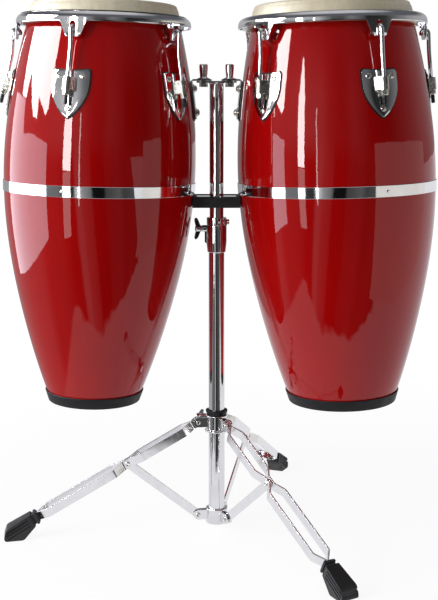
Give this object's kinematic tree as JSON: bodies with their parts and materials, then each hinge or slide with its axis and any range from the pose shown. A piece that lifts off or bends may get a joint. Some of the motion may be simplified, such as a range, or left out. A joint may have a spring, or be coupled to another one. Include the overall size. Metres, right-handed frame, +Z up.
{
  "type": "pair of conga drums on a double stand",
  "caption": "Two tapered wooden conga drums with tuned skin heads, hung side by side on a folding tripod stand with an adjustable pole.",
  "frame": {"origin": "centre of the flat closed bottom end of the stand's pole, 10 mm above the ground the feet stand on", "axes": "+Z up the pole, +X towards the larger drum, -Y towards the player"},
  "size_m": [0.7899, 0.6844, 0.9463],
  "materials": {
    "red_lacquer": "wooden shell under deep gloss red lacquer",
    "chrome": "polished chrome plate on steel",
    "black_rubber": "matte black moulded rubber",
    "natural_skin": "natural cream drum skin, faintly mottled"
  },
  "bodies": {
    "base": {"lower_tube": "chrome"},
    "collar": {"leg_collar": "chrome"},
    "collar_wing": {"collar_wing_bolt": "chrome"},
    "height_wing": {"height_wing_bolt": "chrome"},
    "memory_lock": {"memory_lock": "chrome"},
    "upper": {"upper_tube": "chrome", "saddle_pad": "black_rubber", "left_shell": "red_lacquer", "left_belly_band": "chrome", "left_bottom_ring": "black_rubber", "left_head": "natural_skin", "left_mount_bracket": "chrome", "left_lug_1": "chrome", "left_lug_2": "chrome", "left_lug_3": "chrome", "left_lug_4": "chrome", "left_lug_5": "chrome", "right_shell": "red_lacquer", "right_belly_band": "chrome", "right_bottom_ring": "black_rubber", "right_head": "natural_skin", "right_mount_bracket": "chrome", "right_lug_1": "chrome", "right_lug_2": "chrome", "right_lug_3": "chrome", "right_lug_4": "chrome", "right_lug_5": "chrome"},
    "left_rim": {"left_rim": "chrome", "left_hook_1": "chrome", "left_hook_2": "chrome", "left_hook_3": "chrome", "left_hook_4": "chrome", "left_hook_5": "chrome"},
    "left_mount_bolt": {"left_mount_bolt": "chrome"},
    "left_nut_1": {"left_nut_1": "chrome"},
    "left_nut_2": {"left_nut_2": "chrome"},
    "left_nut_3": {"left_nut_3": "chrome"},
    "left_nut_4": {"left_nut_4": "chrome"},
    "left_nut_5": {"left_nut_5": "chrome"},
    "right_rim": {"right_rim": "chrome", "right_hook_1": "chrome", "right_hook_2": "chrome", "right_hook_3": "chrome", "right_hook_4": "chrome", "right_hook_5": "chrome"},
    "right_mount_bolt": {"right_mount_bolt": "chrome"},
    "right_nut_1": {"right_nut_1": "chrome"},
    "right_nut_2": {"right_nut_2": "chrome"},
    "right_nut_3": {"right_nut_3": "chrome"},
    "right_nut_4": {"right_nut_4": "chrome"},
    "right_nut_5": {"right_nut_5": "chrome"},
    "left_leg": {"left_leg": "chrome", "left_foot": "black_rubber"},
    "left_brace": {"left_brace": "chrome"},
    "front_leg": {"front_leg": "chrome", "front_foot": "black_rubber"},
    "front_brace": {"front_brace": "chrome"},
    "back_leg": {"back_leg": "chrome", "back_foot": "black_rubber"},
    "back_brace": {"back_brace": "chrome"}
  },
  "joints": [
    {"name": "swivel", "type": "hinge", "parent": "base", "child": "memory_lock", "pos_m": [0, 0, 0.535], "axis": [0, 0, 1], "continuous": true},
    {"name": "height_slide", "type": "slide", "parent": "memory_lock", "child": "upper", "axis": [0, 0, 1], "range_m": [-0.015, 0.16]},
    {"name": "leg_fold", "type": "slide", "parent": "base", "child": "collar", "axis": [0, 0, 1], "range_m": [0, 0.1385]},
    {"name": "left_leg_pivot", "type": "hinge", "parent": "collar", "child": "left_leg", "pos_m": [-0.03358, -0.00532, 0.1806], "axis": [0.1564, -0.9877, 0], "range_deg": [-0.5, 62.23]},
    {"name": "left_brace_pivot", "type": "hinge", "parent": "base", "child": "left_brace", "pos_m": [-0.03358, -0.00532, 0.0148], "axis": [-0.1564, 0.9877, 0], "range_deg": [-0.5, 52.99]},
    {"name": "front_leg_pivot", "type": "hinge", "parent": "collar", "child": "front_leg", "pos_m": [0.01852, -0.02851, 0.1806], "axis": [0.8387, 0.5446, 0], "range_deg": [-0.5, 62.23]},
    {"name": "front_brace_pivot", "type": "hinge", "parent": "base", "child": "front_brace", "pos_m": [0.01852, -0.02851, 0.0148], "axis": [-0.8387, -0.5446, 0], "range_deg": [-0.5, 52.99]},
    {"name": "back_leg_pivot", "type": "hinge", "parent": "collar", "child": "back_leg", "pos_m": [0.01218, 0.03174, 0.1806], "axis": [-0.9336, 0.3584, 0], "range_deg": [-0.5, 62.23]},
    {"name": "back_brace_pivot", "type": "hinge", "parent": "base", "child": "back_brace", "pos_m": [0.01218, 0.03174, 0.0148], "axis": [0.9336, -0.3584, 0], "range_deg": [-0.5, 52.99]},
    {"name": "height_wing_turn", "type": "hinge", "parent": "base", "child": "height_wing", "pos_m": [-0.0266, 0, 0.528], "axis": [-1, 0, 0], "continuous": true},
    {"name": "collar_wing_turn", "type": "hinge", "parent": "collar", "child": "collar_wing", "pos_m": [-0.02578, 0.01611, 0.1845], "axis": [-0.848, 0.5299, 0], "continuous": true},
    {"name": "left_mount_bolt_turn", "type": "hinge", "parent": "upper", "child": "left_mount_bolt", "pos_m": [-0.0235, 0, 0.7978], "axis": [0, 0, 1], "continuous": true},
    {"name": "left_tension", "type": "slide", "parent": "upper", "child": "left_rim", "axis": [-0.0262, 0, -0.9997], "range_m": [-0.002, 0.004]},
    {"name": "left_nut_1_turn", "type": "hinge", "parent": "upper", "child": "left_nut_1", "pos_m": [-0.07144, 0.11302, 0.7711], "axis": [-0.1231, -0.1249, 0.9845], "range_deg": [-580, 1160]},
    {"name": "left_nut_2_turn", "type": "hinge", "parent": "upper", "child": "left_nut_2", "pos_m": [-0.27192, 0.16302, 0.77635], "axis": [0.0985, -0.1802, 0.9787], "range_deg": [-580, 1160]},
    {"name": "left_nut_3_turn", "type": "hinge", "parent": "upper", "child": "left_nut_3", "pos_m": [-0.38141, -0.01226, 0.77922], "axis": [0.2195, 0.0136, 0.9755], "range_deg": [-580, 1160]},
    {"name": "left_nut_4_turn", "type": "hinge", "parent": "upper", "child": "left_nut_4", "pos_m": [-0.2486, -0.1706, 0.77574], "axis": [0.0727, 0.1886, 0.9794], "range_deg": [-580, 1160]},
    {"name": "left_nut_5_turn", "type": "hinge", "parent": "upper", "child": "left_nut_5", "pos_m": [-0.05702, -0.09317, 0.77072], "axis": [-0.1391, 0.103, 0.9849], "range_deg": [-580, 1160]},
    {"name": "right_mount_bolt_turn", "type": "hinge", "parent": "upper", "child": "right_mount_bolt", "pos_m": [0.0235, 0, 0.7978], "axis": [0, 0, 1], "continuous": true},
    {"name": "right_tension", "type": "slide", "parent": "upper", "child": "right_rim", "axis": [0.0262, 0, -0.9997], "range_m": [-0.002, 0.004]},
    {"name": "right_nut_1_turn", "type": "hinge", "parent": "upper", "child": "right_nut_1", "pos_m": [0.0737, -0.11582, 0.77082], "axis": [0.0227, 0.041, 0.9989], "range_deg": [-580, 1160]},
    {"name": "right_nut_2_turn", "type": "hinge", "parent": "upper", "child": "right_nut_2", "pos_m": [0.27916, -0.16706, 0.7762], "axis": [-0.05, 0.0591, 0.997], "range_deg": [-580, 1160]},
    {"name": "right_nut_3_turn", "type": "hinge", "parent": "upper", "child": "right_nut_3", "pos_m": [0.39136, 0.01257, 0.77914], "axis": [-0.0897, -0.0044, 0.996], "range_deg": [-580, 1160]},
    {"name": "right_nut_4_turn", "type": "hinge", "parent": "upper", "child": "right_nut_4", "pos_m": [0.25526, 0.17483, 0.77558], "axis": [-0.0415, -0.0618, 0.9972], "range_deg": [-580, 1160]},
    {"name": "right_nut_5_turn", "type": "hinge", "parent": "upper", "child": "right_nut_5", "pos_m": [0.05893, 0.09548, 0.77043], "axis": [0.0279, -0.0338, 0.999], "range_deg": [-580, 1160]}
  ],
  "couplings": [
    {"joint": "left_leg_pivot", "follows": "leg_fold", "rad_per_m": 7.7789},
    {"joint": "left_brace_pivot", "follows": "leg_fold", "rad_per_m": 6.6141},
    {"joint": "front_leg_pivot", "follows": "leg_fold", "rad_per_m": 7.7789},
    {"joint": "front_brace_pivot", "follows": "leg_fold", "rad_per_m": 6.6141},
    {"joint": "back_leg_pivot", "follows": "leg_fold", "rad_per_m": 7.7789},
    {"joint": "back_brace_pivot", "follows": "leg_fold", "rad_per_m": 6.6141},
    {"joint": "left_nut_1_turn", "follows": "left_tension", "rad_per_m": 5026.5},
    {"joint": "left_nut_2_turn", "follows": "left_tension", "rad_per_m": 5026.5},
    {"joint": "left_nut_3_turn", "follows": "left_tension", "rad_per_m": 5026.5},
    {"joint": "left_nut_4_turn", "follows": "left_tension", "rad_per_m": 5026.5},
    {"joint": "left_nut_5_turn", "follows": "left_tension", "rad_per_m": 5026.5},
    {"joint": "right_nut_1_turn", "follows": "right_tension", "rad_per_m": 5026.5},
    {"joint": "right_nut_2_turn", "follows": "right_tension", "rad_per_m": 5026.5},
    {"joint": "right_nut_3_turn", "follows": "right_tension", "rad_per_m": 5026.5},
    {"joint": "right_nut_4_turn", "follows": "right_tension", "rad_per_m": 5026.5},
    {"joint": "right_nut_5_turn", "follows": "right_tension", "rad_per_m": 5026.5}
  ]
}
